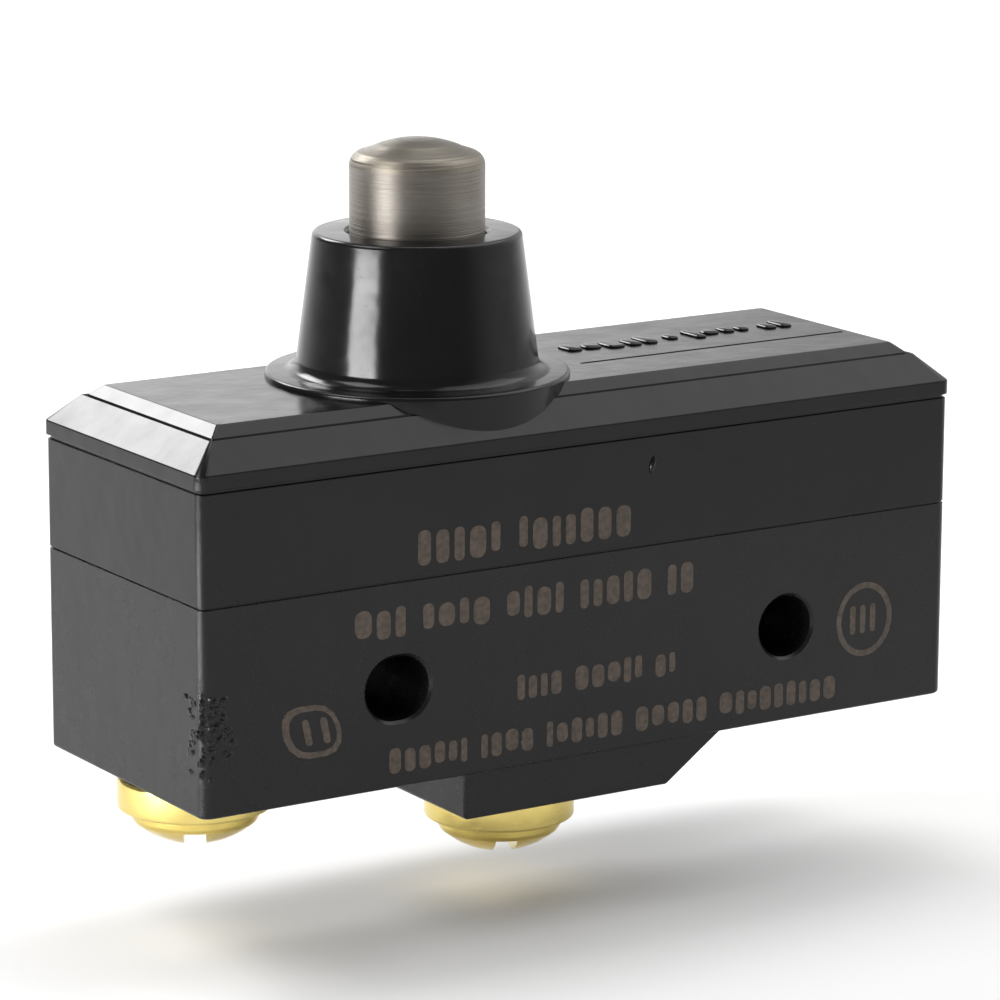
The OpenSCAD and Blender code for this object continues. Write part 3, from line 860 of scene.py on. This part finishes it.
def threaded_shaft(bm, crest, depth, pitch, low, high, head, steps):
    """Screw in one skin: helical thread from low to high, then the head's outline up to its pole."""
    per_turn = 8
    rows = int((high - low) / pitch * per_turn)
    rings = []
    for row in range(rows + 1):
        z = low + (high - low) * row / rows
        fade = min(1, (z - low) / pitch, (high - z) / (0.6 * pitch))
        ring = []
        for i in range(steps):
            phase = ((z - low) / pitch - i / steps) % 1
            height = 1 - abs(2 * phase - 1)
            r = crest - depth * (1 - min(1, 1.25 * height) * fade)
            ring.append(Vector((r * math.cos(TURN * i / steps), r * math.sin(TURN * i / steps), z)))
        rings.append(ring)
    for r, z in head[:-1]:
        rings.append([
            Vector((r * math.cos(TURN * i / steps), r * math.sin(TURN * i / steps), z))
            for i in range(steps)
        ])
    loops = [[bm.verts.new(p) for p in ring] for ring in rings]
    for below, above in zip(loops, loops[1:]):
        for i in range(steps):
            j = (i + 1) % steps
            bm.faces.new((below[i], below[j], above[j], above[i]))
    bm.faces.new(list(reversed(loops[0])))
    tip = bm.verts.new((0, 0, head[-1][1]))
    for i in range(steps):
        bm.faces.new((loops[-1][i], loops[-1][(i + 1) % steps], tip))


def soften_slot(item, above, width):
    """Rounds the sharp edges that a slot leaves in a screw's head."""
    bm = bmesh.new()
    bm.from_mesh(item.data)
    edges = [
        e for e in bm.edges
        if len(e.link_faces) == 2
        and min(v.co.z for v in e.verts) > above
        and e.is_convex
        and e.calc_face_angle() > math.radians(35)
    ]
    bmesh.ops.bevel(bm, geom=edges, offset=width, segments=2, profile=0.5, affect="EDGES", clamp_overlap=True)
    bm.to_mesh(item.data)
    bm.free()


def build_terminal_screw(key):
    """Slotted screw with a crowned head."""
    matrix, turn = TERMINALS[key]
    top = WASHER_FLOOR + HEAD_H
    crown_r, crown_a = crown_of(HEAD_R, CROWN)
    shank = THREAD_R - 0.35
    rim = top - CROWN - 0.18
    head = [(shank, WASHER_FLOOR), (HEAD_R - 0.15, WASHER_FLOOR)]
    head += [(HEAD_R, WASHER_FLOOR + 0.15), (HEAD_R, rim)]
    for k in range(4):
        angle = math.pi / 2 * (k + 1) / 5
        head.append((HEAD_R - 0.14 * (1 - math.cos(angle)), rim + 0.2 * math.sin(angle)))
    for k in range(13):
        angle = crown_a * 0.955 * (1 - k / 12)
        head.append((crown_r * math.sin(angle), top - crown_r + crown_r * math.cos(angle)))

    screw = solid(key + "_terminal_screw", lambda bm: threaded_shaft(
        bm, THREAD_R, 0.42, PITCH, -SCREW_LEN, WASHER_FLOOR - 0.4, head, 64))
    half = SLOT_W / 2
    cut(screw, box_build((-2 * HEAD_R, -half, top - SLOT_DEEP), (2 * HEAD_R, half, top + 1)))
    soften_slot(screw, WASHER_FLOOR + 0.5, 0.07)
    screw.data.transform(Matrix.Rotation(math.radians(turn), 4, "Z"))
    place(screw, key + "_screw", SCREW_BRASS, [key + "_screw"], matrix)


def build_cup_washer(key):
    """Deep cup washer: flat floor, upright rim round the screw's head, rounded lip."""
    inner = HEAD_R + 0.12
    profile = fillets([
        (WASHER_BORE, 0, 0.08),
        (WASHER_R, 0, 0.32),
        (WASHER_R, WASHER_H, 0.16),
        (inner, WASHER_H, 0.16),
        (inner, WASHER_FLOOR, 0.12),
        (WASHER_BORE, WASHER_FLOOR, 0.08),
    ], steps=5, closed=True)
    washer = solid(key + "_cup_washer", lathe_build(profile, 96, closed=True))
    place(washer, key + "_washer", WASHER_BRASS, [key + "_washer"], TERMINALS[key][0])


def build_insert(key):
    """Threaded insert moulded into the base; the normally open one also has a collar below the boss."""
    low, high = box_mm(key + "_insert")
    inward = (high.x - low.x) if key == "nc" else (high.z - low.z)
    neck = {"com": 1.1, "no": 1.1, "nc": 3.1}[key]
    body = inward - neck
    corners = [(INSERT_BORE, 0, 0.12)]
    if key == "no":
        corners += [(COLLAR_R, 0, 0.15), (COLLAR_R, -COLLAR_T, 0.05), (INSERT_R, -COLLAR_T, 0)]
    else:
        corners += [(INSERT_R, 0, 0.08)]
    corners += [(INSERT_R, -body, 0), (NECK_R, -body, 0)]
    corners += [(NECK_R, -inward, 0.08), (INSERT_BORE, -inward, 0.08)]
    insert = solid(key + "_thread_insert", lathe_build(fillets(corners, closed=True), 96, closed=True))
    place(insert, "housing", INSERT_BRASS, [key + "_insert"], TERMINALS[key][0])


def build_cover_screws():
    """Four small pan-head screws with a cross recess, heads down in the base."""
    seat = CASE_LOW + SCREW_SINK
    length = SCREW_TIP - 0.3 - seat
    head = [(SCREW_R - 0.2, 0), (SCREW_HEAD_R - 0.05, 0), (SCREW_HEAD_R, 0.05), (SCREW_HEAD_R, 0.5)]
    head += [
        (SCREW_HEAD_R - 0.6 * (1 - math.cos(a)), 0.5 + 0.5 * math.sin(a))
        for a in (math.pi / 8, math.pi / 4, 3 * math.pi / 8, math.pi / 2)
    ]
    head.append((0, 1.0))
    screws = solid("cover_fixing_screws", lambda bm: threaded_shaft(
        bm, SCREW_R - 0.01, 0.2, 0.5, -length, -0.3, head, 24))
    for length_x, length_y in ((0.95, 0.2), (0.2, 0.95)):
        cut(screws, box_build((-length_x, -length_y, 0.5), (length_x, length_y, 2)))
    one = screws.data.copy()
    bm = bmesh.new()
    for centre in at_cover_screws():
        copy = one.copy()
        copy.transform(Matrix.Translation((*centre, seat)) @ Matrix.Rotation(math.pi, 4, "X"))
        bm.from_mesh(copy)
        bpy.data.meshes.remove(copy)
    bm.to_mesh(screws.data)
    bm.free()
    bpy.data.meshes.remove(one)
    place(screws, "housing", SCREW_STEEL, ["cover_screws"])


# ---------------------------------------------------------------- marks


def front_plate(bm, outline):
    """Thin raised film on the front face, with its outline (x, z)."""
    loft(bm, [[Vector((x, y, z)) for x, z in outline] for y in (FRONT_Y + INK_SINK, FRONT_Y - INK_T)])


def pill(x0, x1, z0, z1, lean=0.0):
    """Outline of a rounded bar, leaning to the right as it rises."""
    radius = 0.42 * min(x1 - x0, z1 - z0)
    corners = fillets([(x0, z0, radius), (x1, z0, radius), (x1, z1, radius), (x0, z1, radius)], 3, True)
    return [(p.x + lean * (p.y - z0), p.y) for p in corners]


def oval(x, z, half_x, half_z, steps=48):
    """Outline of an ellipse round (x, z)."""
    turns = [TURN * i / steps for i in range(steps)]
    return [(x + half_x * math.cos(a), z + half_z * math.sin(a)) for a in turns]


def word_row(bm, rng, start, end, z, tall, gaps):
    """Row of short rounded bars in place of a printed line."""
    x = start
    count = 0
    while x < end - 0.3:
        wide = rng.uniform(0.42, 0.95) * tall / 1.6
        low = z + (0.0 if rng.random() < 0.75 else 0.12 * tall)
        front_plate(bm, pill(x, min(x + wide, end), low, z + tall * rng.uniform(0.86, 1)))
        x += wide + 0.17 * tall
        count += 1
        if count in gaps:
            x += 0.45 * tall


def outline_frame(bm, outer, inner):
    """Flat frame between two outlines that have the same number of points."""
    deep, proud = FRONT_Y + INK_SINK, FRONT_Y - INK_T
    rings = [
        [bm.verts.new((x, y, z)) for x, z in outline]
        for outline, y in ((outer, deep), (outer, proud), (inner, proud), (inner, deep))
    ]
    for a, b in zip(rings, rings[1:] + rings[:1]):
        for i in range(len(a)):
            j = (i + 1) % len(a)
            bm.faces.new((a[i], a[j], b[j], b[i]))


def build_print():
    """Four rows of bars and two plain framed marks, in place of the printed text and approval marks."""
    rng = random.Random(11)

    def build(bm):
        for row in PRINT_ROWS:
            word_row(bm, rng, *row)
        left, right = -19.45, -15.95
        outer = pill(left, right, -3.0, -0.1, -0.25)
        inner = pill(left + 0.35, right - 0.35, -2.68, -0.42, -0.25)
        outline_frame(bm, outer, inner)
        for x in (-18.4, -17.3):
            front_plate(bm, pill(x, x + 0.42, -2.3, -0.85, -0.2))
        outline_frame(bm, oval(18.15, -0.3, 1.95, 2.15), oval(18.15, -0.3, 1.6, 1.8))
        for x in (17.15, 17.85, 18.55):
            front_plate(bm, pill(x, x + 0.38, -1.1, 0.55))

    place(solid("front_print", build), "housing", PRINT_INK)


def build_top_bars():
    """Raised bars behind the groove on the top, in place of moulded lettering."""
    rng = random.Random(5)

    def bar(bm, x0, x1, y0, y1):
        rings = []
        r = 0.3 * (x1 - x0)
        for inset, z in ((0, -0.03), (0, 0.07), (0.04, 0.12), (0.1, 0.14)):
            outline = fillets(
                [(x0 + inset, y0 + inset, r), (x1 - inset, y0 + inset, r),
                 (x1 - inset, y1 - inset, r), (x0 + inset, y1 - inset, r)], 3, True)
            rings.append([Vector((p.x, p.y, CASE_TOP + z)) for p in outline])
        loft(bm, rings)

    def build(bm):
        x = PLUNGER_X + FLANGE_R + 2.2
        end = RIGHT - CHAMFER_IN - 1.2
        while x < end - 0.6:
            wide = rng.uniform(0.55, 1.1)
            bar(bm, x, min(x + wide, end), rng.uniform(0.3, 0.9), rng.uniform(1.7, 2.4))
            x += wide + rng.choice((0.3, 0.35, 0.4, 1.0))

    place(solid("top_bars", build), "housing", COVER_PHENOLIC)


def build_gate_marks():
    """Two small rough spots where the mouldings were fed."""
    rng = random.Random(3)

    def lump(bm, centre, size, tilt, rough):
        made = bmesh.ops.create_icosphere(bm, subdivisions=3, radius=1)["verts"]
        for v in made:
            v.co *= 1 + rough * (rng.random() - 0.5)
        turn = Matrix.Rotation(math.radians(tilt), 4, "Y")
        move = Matrix.Translation(centre) @ turn @ Matrix.Diagonal((*size, 1))
        bmesh.ops.transform(bm, matrix=move, verts=made)

    def cover_pip(bm):
        lump(bm, (3.5, FRONT_Y, 10.35), (0.17, 0.16, 0.5), 16, 0.08)

    def base_scar(bm):
        for _ in range(80):
            across = rng.gauss(0.45, 0.75)
            z = rng.gauss(-0.7, 1.0)
            size = (rng.uniform(0.12, 0.3), rng.uniform(0.08, 0.13), rng.uniform(0.12, 0.34))
            if across > 0.45:
                spot = (LEFT + min(across, 2), FRONT_Y + 0.03, z)
            elif across > 0:
                spot = (LEFT + 0.22, FRONT_Y + 0.22, z)
            else:
                spot = (LEFT + 0.05, FRONT_Y + 0.45 - across, z)
                size = (0.09, size[0], size[2])
            lump(bm, spot, size, rng.uniform(-40, 40), 0.35)

    place(solid("cover_gate_pip", cover_pip), "housing", COVER_PHENOLIC, sharp_degrees=60)
    place(solid("base_gate_scar", base_scar), "housing", BASE_PHENOLIC, sharp_degrees=60)


# ---------------------------------------------------------------- studio


def build_floor():
    """Plain pale floor, low enough for the lowest screw to back off to its limit."""
    low = CAD_BOX[0].z - joint_range("no_washer_slide")
    half = 3.0

    def build(bm):
        middle = Matrix.Translation((0, 0, low))
        bmesh.ops.create_grid(bm, x_segments=2, y_segments=2, size=half, matrix=middle)

    floor = solid("floor", build)
    n = Nodes("studio_floor")
    n.set(Base_Color=(0.9, 0.9, 0.9), Roughness=0.9)
    n.set(**{"Specular IOR Level": 0.1})
    floor.data.materials.append(n.material)


def soft_box(name, towards, distance, width, height, radiance, aim=(0, 0, 0.005), spread=180):
    """Rectangular area light seen from aim along the direction towards it."""
    light = bpy.data.lights.new(name, "AREA")
    light.shape = "RECTANGLE"
    light.size, light.size_y = width, height
    light.energy = 4 * radiance * width * height
    light.spread = math.radians(spread)
    lamp = bpy.data.objects.new(name, light)
    direction = Vector(towards).normalized()
    lamp.location = Vector(aim) + direction * distance
    lamp.rotation_mode = "QUATERNION"
    lamp.rotation_quaternion = direction.to_track_quat("Z", "Y")
    bpy.context.scene.collection.objects.link(lamp)


# Glows in the surroundings: centre, angle at which each ends and starts to fade, and strength
GLOWS = (
    ((0, 0, 1), 181, 180, 0.22),
    ((0.25, 0.97, 0.13), 27, 8, 1.55),
    ((1, -0.1, 0.15), 70, 20, 0.9),
)


def build_world():
    """Surroundings: dim where the photographer stands, brighter behind and to the right."""
    world = bpy.data.worlds.new("studio")
    bpy.context.scene.world = world
    world.use_nodes = True
    tree = world.node_tree
    background = tree.nodes["Background"]
    background.inputs["Color"].default_value = (1, 1, 1, 1)
    coords = tree.nodes.new("ShaderNodeTexCoord")
    total = None
    for centre, outer, inner, amount in GLOWS:
        dot = tree.nodes.new("ShaderNodeVectorMath")
        dot.operation = "DOT_PRODUCT"
        dot.inputs[1].default_value = Vector(centre).normalized()
        tree.links.new(coords.outputs["Generated"], dot.inputs[0])
        fade = tree.nodes.new("ShaderNodeMapRange")
        fade.interpolation_type = "SMOOTHSTEP"
        fade.inputs["From Min"].default_value = math.cos(math.radians(outer)) - 0.001
        fade.inputs["From Max"].default_value = math.cos(math.radians(inner))
        fade.inputs["To Max"].default_value = amount
        tree.links.new(dot.outputs["Value"], fade.inputs["Value"])
        if total is None:
            total = fade.outputs["Result"]
            continue
        plus = tree.nodes.new("ShaderNodeMath")
        plus.operation = "ADD"
        tree.links.new(total, plus.inputs[0])
        tree.links.new(fade.outputs["Result"], plus.inputs[1])
        total = plus.outputs[0]
    tree.links.new(total, background.inputs["Strength"])


# Height that the lamps over the floor are placed from
FLOOR_AIM = -0.0124


def build_light():
    """Six soft boxes: a strip on the left, one behind, one over each end, and two that light the floor."""
    build_world()
    soft_box("left_strip", (-1, -0.07, 0.03), 0.5, 0.24, 0.08, 27)
    soft_box("back_box", (-0.118, 0.821, 0.559), 0.8, 0.34, 0.28, 1.15, spread=60)
    soft_box("top_left_box", (-0.54, 0.2, 0.81), 0.8, 0.4, 0.34, 5)
    soft_box("floor_lamp", (0, 0, 1), 0.07, 0.05, 0.05, 14, aim=(-0.105, -0.004, FLOOR_AIM), spread=70)
    soft_box("backdrop_box", (0, 0, 1), 1.0, 0.6, 0.6, 0.5, aim=(0.28, 0.42, FLOOR_AIM), spread=70)
    soft_box("top_right_box", (0.526, -0.061, 0.848), 0.7, 0.6, 0.6, 1.3)


# Camera: the view's angles in degrees, the point it is centred on and its distance in millimetres
AZIMUTH, ELEVATION, ROLL = 32.67, 12.81, 0.208
CAMERA_TARGET = (-0.8, 0, 7.2)
CAMERA_DISTANCE = 257.46


def build_camera():
    """Long lens, from the front left and a little above."""
    azimuth, elevation, roll = math.radians(AZIMUTH), math.radians(ELEVATION), math.radians(ROLL)
    target = Vector(CAMERA_TARGET) * MM
    distance = CAMERA_DISTANCE * MM
    forward = Vector((
        math.sin(azimuth) * math.cos(elevation),
        math.cos(azimuth) * math.cos(elevation),
        -math.sin(elevation),
    ))
    data = bpy.data.cameras.new("camera")
    data.sensor_width = 36
    data.lens = 166.6
    data.clip_start, data.clip_end = 0.01, 20
    camera = bpy.data.objects.new("camera", data)
    camera.rotation_mode = "QUATERNION"
    facing = forward.to_track_quat("-Z", "Y")
    camera.rotation_quaternion = facing @ Matrix.Rotation(roll, 4, "Z").to_quaternion()
    camera.location = target - forward * distance
    bpy.context.scene.collection.objects.link(camera)
    bpy.context.scene.camera = camera


bpy.context.scene.view_settings.view_transform = "Standard"
dress_cad_nodes()
build_cover()
build_base()
build_plunger()
build_spring()
for terminal in TERMINALS:
    build_insert(terminal)
    build_cup_washer(terminal)
    build_terminal_screw(terminal)
build_cover_screws()
build_print()
build_top_bars()
build_gate_marks()
build_floor()
build_light()
build_camera()
